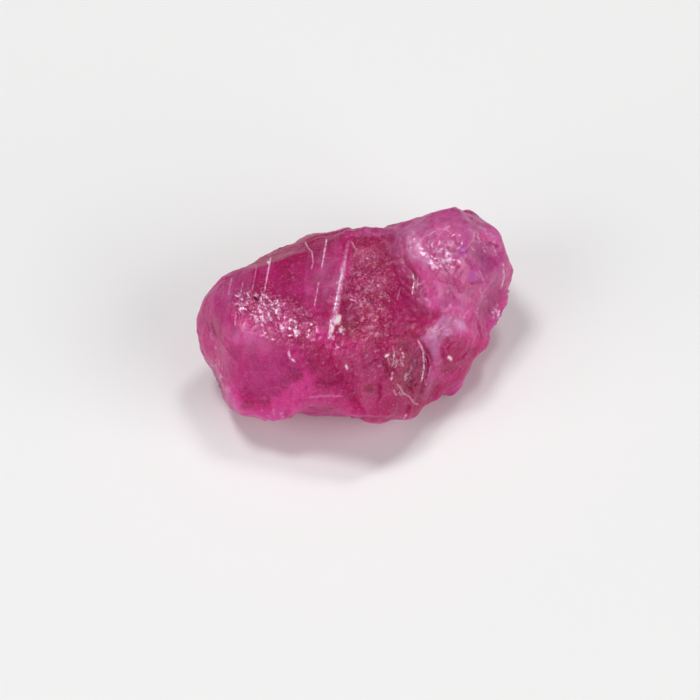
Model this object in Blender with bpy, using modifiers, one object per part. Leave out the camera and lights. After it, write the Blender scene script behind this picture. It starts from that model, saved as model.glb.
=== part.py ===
"""A raw ruby crystal: one lump of corundum at its real size, in metres, +Z up.

The lump lies on a worn flat underside. Its long axis runs along X: a blocky body with
broad, nearly flat faces on the -X side, and a rounded knob grown onto its +X end.
Both are cut from a box, face by face, the way a crystal is described: each face has a
heading (the compass direction that it looks in, in degrees from +X), a tilt above the
horizon and a distance from the block's centre. Ledges, hollows and nubs are then cut and
joined with Booleans, and the surface is weathered with displacement textures.

Everything is worked in millimetres and turned into metres at the end.
"""

import math
import random

import bmesh
import bpy
from mathutils import Vector, kdtree

MM = 0.001

# The look of the stone: a deep pink red, lightly worn, with the refraction of corundum.
RUBY_COLOUR = (0.45, 0.065, 0.18, 1.0)
RUBY_ROUGHNESS = 0.3
RUBY_IOR = 1.77
RUBY_CLEARNESS = 0.6

# The blocky body: its centre, and (heading, tilt, distance) of each face.
BODY_CENTRE = (-1.1, -0.2, 2.5)
BODY_FACES = {
    "top": (120, 87, 2.3),
    "top_right": (-25, 76, 2.5),
    "front_left": (-132, 18, 3.2),
    "front": (-85, 36, 3.25),
    "front_right": (-65, 13, 3.7),
    "front_low": (-120, -36, 2.9),
    "left_top": (180, 42, 4.05),
    "left_front": (-148, 4, 4.2),
    "left_low": (178, -10, 3.9),
    "left_back": (138, 8, 4.2),
    "left_back_low": (148, -37, 4.1),
    "back": (104, -2, 3.2),
    "back_right": (47, -4, 3.15),
    "back_brow": (90, 49, 2.95),
    "back_low": (105, -43, 2.85),
    "right": (0, 6, 4.2),
    "right_low": (-44, -34, 3.8),
    "under": (0, -90, 2.75),
}

# The rounded knob at the +X end, given the same way.
KNOB_CENTRE = (3.3, 0.7, 2.9)
KNOB_FACES = {
    "top": (60, 84, 2.05),
    "left": (192, 50, 2.2),
    "left_side": (190, 4, 2.5),
    "right_top": (12, 53, 2.15),
    "right": (2, 5, 2.3),
    "right_front": (-52, 10, 2.6),
    "right_low": (-4, -39, 2.4),
    "front_top": (-69, 41, 2.4),
    "front": (-78, 20, 2.9),
    "front_low": (-49, -51, 2.85),
    "back": (82, 23, 1.25),
    "back_right": (27, 27, 2.15),
    "back_top": (109, 55, 1.75),
    "back_low": (79, -41, 2.5),
    "under": (0, -90, 3.15),
}

BLANK_SIZE = 20.0  # edge of the box that each block is cut from

# Lumps joined on: centre, half-lengths along X, Y and Z, and heading of the long side.
LUMPS = {
    "lip_bump": ((-3.95, -1.98, 1.8), (0.75, 0.45, 0.5), -50),
    "front_bulge": ((-0.3, -3.45, 2.0), (1.3, 0.65, 0.8), 10),
    "toe": ((0.9, -2.8, 0.9), (0.9, 0.75, 1.4), 20),
    "shoulder": ((2.3, -2.45, 2.4), (1.1, 0.8, 0.9), 10),
    "foot": ((1.9, -2.3, 1.35), (1.5, 1.0, 1.25), 0),
    "rim_bump": ((5.4, -0.7, 3.1), (0.3, 0.45, 0.35), 0),
}

# Curved hollows where flakes broke away: a point on the surface, the heading and tilt that
# the hollow opens to, the radius of its curve and how deep it bites.
HOLLOWS = {
    "under_shelf": ((-2.9, -3.13, 2.45), -125, -30, 1.7, 0.25),
    "fissure_bay": ((0.8, -3.35, 2.8), -65, 20, 1.2, 0.28),
    "worn_edge": ((-3.0, -1.5, 4.75), -120, 65, 2.0, 0.16),
    "left_bay": ((-4.9, 0.6, 3.0), 178, 20, 1.6, 0.18),
    "knob_glints": ((3.4, 0.0, 5.0), -110, 60, 1.1, 0.16),
    "knob_side": ((4.6, -0.7, 4.1), -50, 40, 1.2, 0.12),
    "knob_low": ((4.3, -1.6, 2.6), -60, 0, 1.4, 0.20),
    "brow_bay": ((0.4, -2.2, 4.5), -70, 65, 1.5, 0.14),
    "front_dimple": ((-0.9, -3.4, 3.6), -80, 40, 0.9, 0.14),
    "back_bay": ((-0.8, 3.1, 2.6), 95, 5, 2.6, 0.35),
    "back_left_bay": ((-3.6, 2.4, 1.8), 135, -10, 1.8, 0.25),
    "back_knob_bay": ((2.4, 2.4, 2.4), 80, 0, 1.6, 0.30),
    "right_bay": ((4.4, 0.6, 1.2), 10, -25, 1.4, 0.22),
}

# The ledge beside the long ridge on the top: the ridge runs along a heading from its foot,
# and the floor beside it lies lower and almost level.
RIDGE_FOOT = (-1.86, -2.08)
RIDGE_HEADING = 57
LEDGE_FLOOR = 4.66  # height of the floor above the underside
LEDGE_SIZE = (1.9, 6.0, 2.0)
LEDGE_OVERRUN = 1.0  # how far the ledge is cut past the ridge's foot, out through the front

# Faces that stay flat: a point, the heading and tilt that the face looks in, and its reach.
FLATS = {
    "top": ((-2.6, 0.2, 4.72), 120, 87, 3.4),
    "front_left": ((-3.3, -2.35, 3.5), -132, 18, 1.5),
    "ledge_floor": ((0.6, -0.2, 4.58), -25, 84, 1.1),
    "knob_top": ((3.4, 1.0, 5.05), 60, 84, 0.9),
}

# Fracture facets: how many flat chips there are, their reach, depth and tilt, and the seed.
CHIPS = 160
CHIP_REACH = (0.4, 1.1)
CHIP_DEPTH = (0.01, 0.05)
CHIP_TILT = 0.22
CHIP_SEED = 7
CHIP_CENTRE = (0.3, -0.5, 2.5)  # the chips are aimed from an egg-shaped shell about here
CHIP_SHELL = (6.5, 4.5, 4.0)
CHIP_LOWEST = -60  # degrees below the horizon
WHOLE_TOP = 0.9  # no chips where the surface faces up or down more squarely than this
PRESS_FADE = 3.0  # how sharply a facet ends at its rim

# Weathering textures: name, kind, size of its grain and height of its relief.
WEATHERING = (
    ("swell", "CLOUDS", 1.7, 0.16),
    ("lumps", "VORONOI", 0.8, 0.08),
    ("grain", "CLOUDS", 0.4, 0.035),
)

CELL = 0.12  # edge of a cell of the even mesh that the surface is worked on
TRIANGLES = 9000
BASE_HEIGHT = 0.10  # how much is ground off the underside to leave a flat to rest on


def clear_scene():
    for thing in list(bpy.data.objects):
        bpy.data.objects.remove(thing, do_unlink=True)


def make_collection(name):
    collection = bpy.data.collections.new(name)
    bpy.context.scene.collection.children.link(collection)
    return collection


def add_object(name, form, collection):
    """Turns a bmesh into a mesh object in a collection."""
    bmesh.ops.recalc_face_normals(form, faces=form.faces)
    mesh = bpy.data.meshes.new(name)
    form.to_mesh(mesh)
    form.free()
    thing = bpy.data.objects.new(name, mesh)
    collection.objects.link(thing)
    return thing


def direction(heading, tilt):
    """The unit vector that looks along a heading and a tilt, both in degrees."""
    turn, rise = math.radians(heading), math.radians(tilt)
    level = math.cos(rise)
    return Vector((math.cos(turn) * level, math.sin(turn) * level, math.sin(rise)))


def slice_off(form, point, outward):
    """Cuts away what lies beyond a plane and closes the cut."""
    cut = bmesh.ops.bisect_plane(
        form,
        geom=form.verts[:] + form.edges[:] + form.faces[:],
        plane_co=point,
        plane_no=outward,
        clear_outer=True,
    )
    rim = [item for item in cut["geom_cut"] if isinstance(item, bmesh.types.BMEdge)]
    bmesh.ops.holes_fill(form, edges=rim, sides=0)


def cut_block(name, centre, faces, collection):
    """A box cut down to a crystal block by one plane for each face."""
    form = bmesh.new()
    bmesh.ops.create_cube(form, size=BLANK_SIZE)
    bmesh.ops.translate(form, verts=form.verts, vec=centre)
    for heading, tilt, distance in faces.values():
        outward = direction(heading, tilt)
        slice_off(form, Vector(centre) + outward * distance, outward)
    return add_object(name, form, collection)


def egg(name, centre, half_lengths, heading, collection):
    """A ball stretched along its axes and turned about the upright."""
    form = bmesh.new()
    bmesh.ops.create_icosphere(form, subdivisions=4, radius=1.0)
    bmesh.ops.scale(form, verts=form.verts, vec=half_lengths)
    thing = add_object(name, form, collection)
    thing.location = centre
    thing.rotation_euler.z = math.radians(heading)
    return thing


def ledge_cutter(collection):
    """A box whose lower corner runs along the ridge, over the floor of the ledge."""
    form = bmesh.new()
    bmesh.ops.create_cube(form, size=1.0)
    bmesh.ops.scale(form, verts=form.verts, vec=LEDGE_SIZE)
    wide, long, high = LEDGE_SIZE
    bmesh.ops.translate(form, verts=form.verts, vec=(wide / 2, long / 2 - LEDGE_OVERRUN, high / 2))
    thing = add_object("ledge", form, collection)
    thing.location = (*RIDGE_FOOT, LEDGE_FLOOR)
    thing.rotation_euler.z = math.radians(RIDGE_HEADING - 90)
    return thing


def boolean(target, other, operation):
    other.hide_render = True
    other.display_type = "WIRE"
    modifier = target.modifiers.new(other.name, "BOOLEAN")
    modifier.operation = operation
    modifier.solver = "EXACT"
    modifier.object = other


def weather(target, name, kind, grain, height):
    """Raises and lowers the surface along its normals by a procedural texture."""
    texture = bpy.data.textures.new(name, kind)
    texture.noise_scale = grain
    modifier = target.modifiers.new(name, "DISPLACE")
    modifier.texture = texture
    modifier.texture_coords = "LOCAL"
    modifier.strength = height
    modifier.mid_level = 0.5


def press_flat(points, finder, middle, floor, outward, reach):
    """Presses the points above a plane down onto it, fading out at the end of the reach."""
    for _, index, distance in finder.find_range(middle, reach):
        above = (points[index] - floor).dot(outward)
        if above > 0:
            hold = min(1.0, PRESS_FADE * (1.0 - distance / reach))
            points[index] = points[index] - outward * above * hold


def cut_facets(mesh):
    """Leaves the flat faces flat, and small tilted facets where flakes split off elsewhere."""
    chance = random.Random(CHIP_SEED)
    points = [Vector(vertex.co) for vertex in mesh.vertices]
    normals = [Vector(vertex.normal) for vertex in mesh.vertices]
    finder = kdtree.KDTree(len(points))
    for index, point in enumerate(points):
        finder.insert(point, index)
    finder.balance()
    for _ in range(CHIPS):
        aim = direction(chance.uniform(0, 360), chance.uniform(CHIP_LOWEST, 90))
        outside = Vector([half * part for half, part in zip(CHIP_SHELL, aim)])
        start = finder.find(outside + Vector(CHIP_CENTRE))[1]
        if abs(normals[start].z) > WHOLE_TOP:
            continue
        lean = Vector([chance.uniform(-CHIP_TILT, CHIP_TILT) for _ in range(3)])
        outward = (normals[start] + lean).normalized()
        reach = chance.uniform(*CHIP_REACH)
        floor = points[start] - outward * chance.uniform(*CHIP_DEPTH)
        press_flat(points, finder, points[start], floor, outward, reach)
    for place, heading, tilt, reach in FLATS.values():
        middle = Vector(place)
        press_flat(points, finder, middle, middle, direction(heading, tilt), reach)
    for vertex, point in zip(mesh.vertices, points):
        vertex.co = point


def evaluated_mesh(thing):
    graph = bpy.context.evaluated_depsgraph_get()
    return bpy.data.meshes.new_from_object(thing.evaluated_get(graph))


def settle(mesh):
    """Grinds the resting flat, centres the lump over the origin and turns it into metres."""
    form = bmesh.new()
    form.from_mesh(mesh)
    slice_off(form, Vector((0, 0, BASE_HEIGHT)), Vector((0, 0, -1)))
    bmesh.ops.triangulate(form, faces=form.faces[:])
    low = [min(vertex.co[axis] for vertex in form.verts) for axis in range(3)]
    high = [max(vertex.co[axis] for vertex in form.verts) for axis in range(3)]
    centre = Vector(((low[0] + high[0]) / 2, (low[1] + high[1]) / 2, low[2]))
    bmesh.ops.translate(form, verts=form.verts, vec=-centre)
    bmesh.ops.scale(form, verts=form.verts, vec=(MM, MM, MM))
    bmesh.ops.recalc_face_normals(form, faces=form.faces)
    form.to_mesh(mesh)
    form.free()
    return centre


def ruby_material():
    material = bpy.data.materials.new("ruby")
    material.use_nodes = True
    shader = material.node_tree.nodes["Principled BSDF"]
    shader.inputs["Base Color"].default_value = RUBY_COLOUR
    shader.inputs["Roughness"].default_value = RUBY_ROUGHNESS
    shader.inputs["Metallic"].default_value = 0.0
    shader.inputs["IOR"].default_value = RUBY_IOR
    shader.inputs["Transmission Weight"].default_value = RUBY_CLEARNESS
    return material


def build():
    clear_scene()
    parts = make_collection("ruby_crystal_parts")
    cutters = make_collection("cutters")

    lump = cut_block("ruby_crystal", BODY_CENTRE, BODY_FACES, parts)
    boolean(lump, cut_block("knob", KNOB_CENTRE, KNOB_FACES, cutters), "UNION")
    for name, (centre, half_lengths, heading) in LUMPS.items():
        boolean(lump, egg(name, centre, half_lengths, heading, cutters), "UNION")
    for name, (point, heading, tilt, radius, bite) in HOLLOWS.items():
        centre = Vector(point) + direction(heading, tilt) * (radius - bite)
        hollow = egg(name, centre, (radius, radius, radius), 0, cutters)
        boolean(lump, hollow, "DIFFERENCE")
    boolean(lump, ledge_cutter(cutters), "DIFFERENCE")

    remesh = lump.modifiers.new("even_mesh", "REMESH")
    remesh.mode = "VOXEL"
    remesh.voxel_size = CELL
    for texture in WEATHERING:
        weather(lump, *texture)
    mesh = evaluated_mesh(lump)
    lump.modifiers.clear()
    lump.data = mesh
    cut_facets(mesh)

    fewer = lump.modifiers.new("fewer_triangles", "DECIMATE")
    mesh.calc_loop_triangles()
    fewer.ratio = TRIANGLES / len(mesh.loop_triangles)
    mesh = evaluated_mesh(lump)
    lump.modifiers.clear()
    lump.data = mesh
    centre = settle(mesh)
    for cutter in cutters.objects:
        cutter.location = (cutter.location - centre) * MM
        cutter.scale = (MM, MM, MM)
    mesh.materials.clear()
    mesh.materials.append(ruby_material())


build()
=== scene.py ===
"""A raw ruby crystal on a pale floor in soft studio light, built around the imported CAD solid.

The CAD solid is remeshed finely and carved: worn edges, chips, flake scars, a long ridge, a split
and a drawn-in foot. The stone's material is a translucent, see-through pink red. Places on the
stone are named by the pixel of the 700 x 700 frame at which the camera sees them.
"""

import math

import bpy
import numpy as np
from mathutils import Matrix, Vector, kdtree, noise


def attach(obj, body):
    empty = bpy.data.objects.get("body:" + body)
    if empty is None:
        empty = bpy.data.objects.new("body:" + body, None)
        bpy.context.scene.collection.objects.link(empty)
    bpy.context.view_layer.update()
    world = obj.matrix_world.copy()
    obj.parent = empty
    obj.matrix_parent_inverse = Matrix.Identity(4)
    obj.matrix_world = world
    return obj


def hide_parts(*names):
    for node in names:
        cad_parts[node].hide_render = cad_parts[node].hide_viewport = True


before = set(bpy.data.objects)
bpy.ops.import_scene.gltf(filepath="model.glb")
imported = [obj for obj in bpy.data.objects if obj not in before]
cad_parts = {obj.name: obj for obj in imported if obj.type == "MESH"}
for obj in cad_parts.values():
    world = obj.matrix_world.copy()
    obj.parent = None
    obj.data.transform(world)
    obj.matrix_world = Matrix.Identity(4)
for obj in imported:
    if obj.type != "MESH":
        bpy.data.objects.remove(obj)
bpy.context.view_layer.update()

MM = 0.001

# -------------------- camera

FRAME_PIXELS = 700
AZIMUTH, ELEVATION = -27.0, 52.0
DISTANCE = 200.0  # millimetres from the camera to the aim
AIM = Vector((-0.297, 0.558, 2.4))  # a point inside the stone, in millimetres
AIM_PIXEL = (353.0, 315.0)
PIXEL = 0.034  # millimetres to a pixel at the aim
SENSOR = 36.0
NEAREST_SEEN, FARTHEST_SEEN = 0.001, 5.0  # metres


def direction(azimuth, elevation):
    """The way to something at a compass direction and a height above the horizon, in degrees."""
    a, e = math.radians(azimuth), math.radians(elevation)
    return math.sin(a) * math.cos(e), -math.cos(a) * math.cos(e), math.sin(e)


def view_axes():
    """The camera's right, up and back directions."""
    heading = math.radians(AZIMUTH)
    right = Vector((math.cos(heading), math.sin(heading), 0.0))
    back = Vector(direction(AZIMUTH, ELEVATION))
    return right, back.cross(right), back


RIGHT, UP, BACK = view_axes()
HALF_FRAME = FRAME_PIXELS / 2
EYE = (
    AIM
    + RIGHT * (HALF_FRAME - AIM_PIXEL[0]) * PIXEL
    - UP * (HALF_FRAME - AIM_PIXEL[1]) * PIXEL
    + BACK * DISTANCE
)


def make_camera():
    data = bpy.data.cameras.new("camera")
    data.sensor_width = SENSOR
    data.lens = SENSOR * DISTANCE / (FRAME_PIXELS * PIXEL)
    data.clip_start = NEAREST_SEEN
    data.clip_end = FARTHEST_SEEN
    camera = bpy.data.objects.new("camera", data)
    bpy.context.scene.collection.objects.link(camera)
    turn = Matrix((RIGHT, UP, BACK)).transposed().to_4x4()
    camera.matrix_world = Matrix.Translation(EYE * MM) @ turn
    bpy.context.scene.camera = camera


# -------------------- the fine surface

VOXEL = 0.056  # millimetres between the points of the fine mesh
BASE_BAND = (0.03, 0.40)  # between these heights the relief fades in above the flat base
STRAY_GRAIN = 0.9  # millimetres across the wanderings of a patch's rim
STRAY_SEEDS = (21, 22)
WEAR_SHARE = 0.5  # how far a round of wear takes a point to the mean of its neighbours


def smoothstep(low, high, values):
    t = np.clip((values - low) / (high - low), 0.0, 1.0)
    return t * t * (3.0 - 2.0 * t)


def ripple(surface, grain, octaves, seed):
    """Fractal noise on the points, about -1 to 1."""
    shift = Vector((seed * 7.3, seed * 3.1, seed * 5.7))
    return np.array(
        [noise.fractal(Vector(point) / grain + shift, 1.0, 2.0, octaves) for point in surface.points]
    )


class Surface:
    """The stone's points in millimetres, and what carving them needs."""

    def __init__(self, mesh):
        count = len(mesh.vertices)
        self.points = np.empty(count * 3, np.float32)
        mesh.vertices.foreach_get("co", self.points)
        self.points = self.points.reshape(-1, 3).astype(float)
        mesh.calc_loop_triangles()
        self.faces = np.empty(len(mesh.loop_triangles) * 3, np.int32)
        mesh.loop_triangles.foreach_get("vertices", self.faces)
        self.faces = self.faces.reshape(-1, 3)
        edges = np.empty(len(mesh.edges) * 2, np.int32)
        mesh.edges.foreach_get("vertices", edges)
        self.edges = edges.reshape(-1, 2)
        self.degree = np.bincount(self.edges.ravel(), minlength=count)[:, None]
        self.lift = smoothstep(*BASE_BAND, self.points[:, 2])
        self.stray = np.stack([ripple(self, STRAY_GRAIN, 3, seed) for seed in STRAY_SEEDS])
        self.update()

    def update(self):
        """Works out the normals and where the camera's frame shows each point."""
        a, b, c = (self.points[self.faces[:, k]] for k in range(3))
        across = np.cross(b - a, c - a)
        total = np.zeros_like(self.points)
        for corner in range(3):
            for axis in range(3):
                total[:, axis] += np.bincount(
                    self.faces[:, corner], across[:, axis], minlength=len(total)
                )
        self.normals = total / np.maximum(np.linalg.norm(total, axis=1), 1e-12)[:, None]
        offset = self.points - np.array(EYE)
        depth = -(offset @ np.array(BACK))
        scale = DISTANCE / (depth * PIXEL)
        self.across = HALF_FRAME + (offset @ np.array(RIGHT)) * scale
        self.down = HALF_FRAME - (offset @ np.array(UP)) * scale
        self.facing = self.normals @ np.array(BACK)

    def neighbour_mean(self, values):
        """The mean of the values at each point's neighbours."""
        total = np.zeros_like(values)
        first, second = self.edges[:, 0], self.edges[:, 1]
        for axis in range(values.shape[1]):
            total[:, axis] += np.bincount(first, values[second, axis], minlength=len(values))
            total[:, axis] += np.bincount(second, values[first, axis], minlength=len(values))
        return total / self.degree

    def move(self, steps):
        """Moves the points, except that those near the base keep their height."""
        steps[:, 2] *= self.lift
        self.points += steps

    def wear(self, mask, rounds):
        """Rounds the edges where the mask is high."""
        share = WEAR_SHARE * mask[:, None]
        for _ in range(rounds):
            self.move(share * (self.neighbour_mean(self.points) - self.points))
        self.update()

    def push(self, heights):
        """Moves each point along its normal by its height in millimetres."""
        self.move(self.normals * heights[:, None])
        self.update()


def fine_copy(node):
    """The CAD solid in millimetres as an even, closely spaced mesh."""
    mesh = node.data.copy()
    mesh.transform(Matrix.Scale(1 / MM, 4))
    mesh.materials.clear()
    piece = bpy.data.objects.new("ruby", mesh)
    bpy.context.scene.collection.objects.link(piece)
    remesh = piece.modifiers.new("fine", "REMESH")
    remesh.mode = "VOXEL"
    remesh.voxel_size = VOXEL
    graph = bpy.context.evaluated_depsgraph_get()
    fine = bpy.data.meshes.new_from_object(piece.evaluated_get(graph))
    piece.modifiers.clear()
    piece.data = fine
    return piece


# -------------------- places in the picture

LINE_FADE = (2.2, 3.6)  # pixels from a thin line at which its mask starts to fade and has faded
FAR_GAP = 9.0  # a gap well off every line, in half widths
SPOT_SOFTNESS = 0.8  # pixels either side of a spot's rim


def to_lines(surface, corners):
    """Each point's distance in pixels to a line through picture corners.

    Also returns that distance with the sign of the line's side, and how far along the line it is.
    """
    best = np.full(len(surface.points), np.inf)
    side = np.zeros(len(surface.points))
    along = np.zeros(len(surface.points))
    corners = np.array(corners, float)
    pieces = len(corners) - 1
    for index in range(pieces):
        start, end = corners[index], corners[index + 1]
        run = end - start
        offset = np.stack([surface.across, surface.down], 1) - start
        t = np.clip((offset @ run) / (run @ run), 0, 1)
        gap = np.linalg.norm(offset - t[:, None] * run, axis=1)
        cross = run[0] * offset[:, 1] - run[1] * offset[:, 0]
        closer = gap < best
        best = np.where(closer, gap, best)
        side = np.where(closer, np.sign(cross), side)
        along = np.where(closer, (index + t) / pieces, along)
    return best, best * side, along


def thin_lines(surface, listed):
    """What the shader needs to draw lines finer than the mesh.

    "gap" is the signed distance to the nearest line as a share of its half width, so that it
    passes through zero exactly on the line, and "near" is the line's strength close to it.
    """
    best = np.full(len(surface.points), np.inf)
    gap = np.full(len(surface.points), FAR_GAP)
    near = np.zeros(len(surface.points))
    for corners, width, strength in listed:
        distance, signed, along = to_lines(surface, corners)
        ends = smoothstep(0.0, 0.1, along) * (1 - smoothstep(0.9, 1.0, along))
        closer = distance < best
        best = np.where(closer, distance, best)
        gap = np.where(closer, np.clip(signed / width, -FAR_GAP, FAR_GAP), gap)
        reach = 1 - smoothstep(*LINE_FADE, distance)
        near = np.where(closer, strength * ends * reach, near)
    return gap, near


def spots(surface, listed):
    """1 on small round or drawn-out spots of a radius in pixels, fading over their rims."""
    total = np.zeros(len(surface.points))
    for corners, radius in listed:
        distance, _, _ = to_lines(surface, corners)
        inner, outer = radius - SPOT_SOFTNESS, radius + SPOT_SOFTNESS
        total = np.maximum(total, 1 - smoothstep(inner, outer, distance))
    return total


def blob(surface, centre, wide, tall, turn=0.0, soft=0.5, ragged=0.0):
    """1 inside an ellipse of picture pixels, fading to 0 at a rim that strays by the ragged pixels."""
    angle = math.radians(turn)
    dx, dy = surface.across - centre[0], surface.down - centre[1]
    dx, dy = dx + ragged * surface.stray[0], dy + ragged * surface.stray[1]
    x = (dx * math.cos(angle) + dy * math.sin(angle)) / wide
    y = (-dx * math.sin(angle) + dy * math.cos(angle)) / tall
    return 1.0 - smoothstep(1.0 - soft, 1.0 + soft, np.hypot(x, y))


def patch(surface, corners, soft=2.0, ragged=2.0):
    """1 inside an outline of picture corners, fading to 0 over the soft pixels either side of it."""
    x = surface.across + ragged * surface.stray[0]
    y = surface.down + ragged * surface.stray[1]
    best = np.full(len(x), np.inf)
    inside = np.zeros(len(x), bool)
    for start, end in zip(corners, corners[1:] + corners[:1]):
        run_x, run_y = end[0] - start[0], end[1] - start[1]
        ahead = (x - start[0]) * run_x + (y - start[1]) * run_y
        t = np.clip(ahead / (run_x**2 + run_y**2), 0, 1)
        best = np.minimum(best, np.hypot(x - start[0] - t * run_x, y - start[1] - t * run_y))
        crosses = (start[1] > y) != (end[1] > y)
        level = start[0] + (y - start[1]) / (run_y or 1.0) * run_x
        inside ^= crosses & (x < level)
    return smoothstep(-soft, soft, np.where(inside, best, -best))


def painted(surface, listed):
    """The sum of the listed patches, each an outline or an ellipse with its strength, no more than 1."""
    total = np.zeros(len(surface.points))
    for strength, shape, *settings in listed:
        draw = patch if isinstance(shape, list) else blob
        total += strength * draw(surface, shape, *settings)
    return np.clip(total, 0, 1)


def short_strokes(centre, wide, tall, turn, count, length, heading, spread, seed):
    """Corners of short bent strokes scattered over an ellipse of the picture."""
    chance = np.random.default_rng(seed)
    tilt = math.radians(turn)
    strokes = []
    for _ in range(count):
        angle, reach = chance.uniform(0, 2 * math.pi), math.sqrt(chance.uniform(0, 1))
        x, y = wide * reach * math.cos(angle), tall * reach * math.sin(angle)
        middle = np.array(centre) + (
            x * math.cos(tilt) - y * math.sin(tilt),
            x * math.sin(tilt) + y * math.cos(tilt),
        )
        way = math.radians(heading + chance.uniform(-spread, spread))
        half = 0.5 * length * chance.uniform(0.5, 1.5)
        run = half * np.array((math.cos(way), math.sin(way)))
        bend = half * chance.uniform(-0.6, 0.6) * np.array((-math.sin(way), math.cos(way)))
        strokes.append([tuple(middle - run), tuple(middle + bend), tuple(middle + run)])
    return strokes


# -------------------- what is where on the stone

# Corners of each line, its half width in pixels and its strength.
STRIATIONS = [
    ([(232, 276), (228, 298)], 1.0, 0.45),
    ([(243, 281), (239, 303)], 1.0, 0.45),
    ([(257, 265), (252, 292)], 1.0, 0.35),
    ([(271, 256), (264, 293)], 1.2, 0.75),
    ([(304, 240), (308, 248), (312, 252), (313, 263), (311, 270)], 1.2, 0.6),
    ([(327, 237), (321, 271)], 1.3, 0.75),
    ([(319, 281), (314, 308)], 1.1, 0.6),
    ([(236, 311), (235, 326)], 1.2, 0.5),
    # The last two lines are the ridge's bright edge, a painted highlight.
    ([(343, 268), (337, 296), (334, 312)], 1.2, 1.2),
    ([(331, 318), (329, 335)], 1.2, 1.2),
]
SCRATCHES = [
    ([(288, 350), (290, 358), (296, 362)], 1.7, 1.0),
    ([(413, 273), (414, 282), (412, 296)], 1.1, 0.8),
    ([(418, 277), (417, 290)], 0.9, 0.45),
    ([(401, 286), (397, 300)], 1.0, 0.3),
    ([(417, 338), (423, 350), (424, 368), (421, 383)], 1.4, 0.8),
    ([(427, 352), (431, 365), (425, 388)], 1.2, 0.4),
    ([(394, 353), (394, 364)], 1.4, 0.8),
    ([(402, 352), (404, 358)], 1.5, 0.8),
    ([(393, 372), (391, 380)], 1.5, 0.8),
    ([(406, 373), (405, 381)], 1.6, 0.9),
    ([(396, 383), (400, 387), (403, 393), (410, 397), (414, 403), (419, 405)], 1.4, 0.5),
    ([(399, 417), (402, 420), (407, 414)], 1.7, 0.9),
    ([(304, 398), (322, 396), (345, 396)], 1.5, 0.3),
    ([(351, 240), (357, 252)], 1.2, 0.5),
    ([(410, 240), (411, 249)], 2.0, 0.7),
    ([(499, 310), (499, 316), (496, 320)], 1.8, 1.0),
    ([(427, 236), (440, 228)], 1.1, 0.4),
    ([(436, 238), (449, 226)], 1.1, 0.35),
    ([(424, 246), (433, 238)], 1.1, 0.35),
    ([(468, 228), (474, 233), (474, 241)], 1.1, 0.3),
    ([(478, 225), (486, 233), (490, 242)], 1.1, 0.3),
    ([(492, 245), (498, 257)], 1.2, 0.45),
    ([(479, 270), (485, 285)], 1.1, 0.5),
    ([(503, 262), (504, 276), (501, 290)], 1.4, 0.6),
]

# Short strokes scattered over an ellipse, then their half width and their strength. Drawn in silver, they
# are mostly painted glints, with some pale specks and streaks.
SCATTERED = [
    (short_strokes((271, 314), 37, 16, 25, 34, 7, 55, 35, 1), 1.4, 1.0),
    (short_strokes((366, 264), 14, 20, 0, 20, 3, 0, 90, 2), 1.1, 0.35),
    (short_strokes((372, 300), 17, 20, 0, 26, 3.5, 0, 90, 3), 1.2, 0.45),
    (short_strokes((370, 330), 26, 13, 0, 22, 3.5, 0, 90, 4), 1.2, 0.45),
    (short_strokes((352, 276), 8, 30, 8, 18, 3, 60, 90, 16), 1.1, 0.45),
    (short_strokes((352, 357), 34, 20, 0, 16, 3, 0, 90, 5), 1.1, 0.35),
    (short_strokes((400, 368), 12, 28, 0, 16, 5, 90, 25, 6), 1.2, 0.45),
    (short_strokes((446, 254), 16, 13, 20, 20, 5, 50, 80, 7), 1.4, 0.8),
    (short_strokes((488, 242), 16, 16, 40, 18, 5, 60, 30, 8), 1.1, 0.4),
    (short_strokes((447, 325), 22, 9, -10, 14, 6, -20, 30, 9), 1.2, 0.45),
    (short_strokes((214, 352), 7, 28, -15, 14, 3.5, 60, 40, 10), 1.2, 0.5),
    (short_strokes((496, 312), 6, 10, 0, 8, 4, 70, 40, 11), 1.2, 0.6),
    (short_strokes((337, 334), 9, 14, 0, 14, 4, 90, 60, 12), 1.4, 0.8),
    (short_strokes((465, 300), 24, 16, 0, 14, 4, 90, 40, 13), 1.1, 0.35),
    (short_strokes((230, 400), 8, 20, -35, 12, 4, 55, 40, 14), 1.1, 0.4),
    (short_strokes((270, 414), 24, 4, 0, 12, 4, 10, 30, 15), 1.1, 0.4),
]

# Corners of each dark speck or pale bead, and its radius in pixels. The beads are painted cream
# highlights.
SPECKS = [
    ([(255, 298), (257, 300)], 1.5),
    ([(370, 299), (371, 303), (374, 303)], 0.7),
    ([(353, 390), (353, 391)], 1.0),
    ([(347, 383), (348, 383)], 0.7),
    ([(306, 387), (306, 388)], 0.7),
    ([(425, 386), (425, 387)], 0.9),
]
HIGHLIGHT_BEADS = [
    ([(339, 317), (337, 322)], 2.3),
    ([(449, 357), (451, 359)], 1.2),
    ([(333, 327), (332, 331)], 1.3),
    ([(341, 329), (341, 332)], 0.9),
    ([(386, 356), (388, 355)], 1.0),
    ([(346, 366), (347, 368)], 1.0),
    ([(268, 262), (269, 263)], 0.9),
]

RIDGE = [(349, 238), (342, 275), (336, 310), (329, 338)]
SPLIT = [(404, 330), (420, 338), (428, 352), (428, 372), (424, 388), (419, 404)]
TOP_LEFT_RIM = [(214, 284), (240, 262), (306, 237), (330, 233)]
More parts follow.
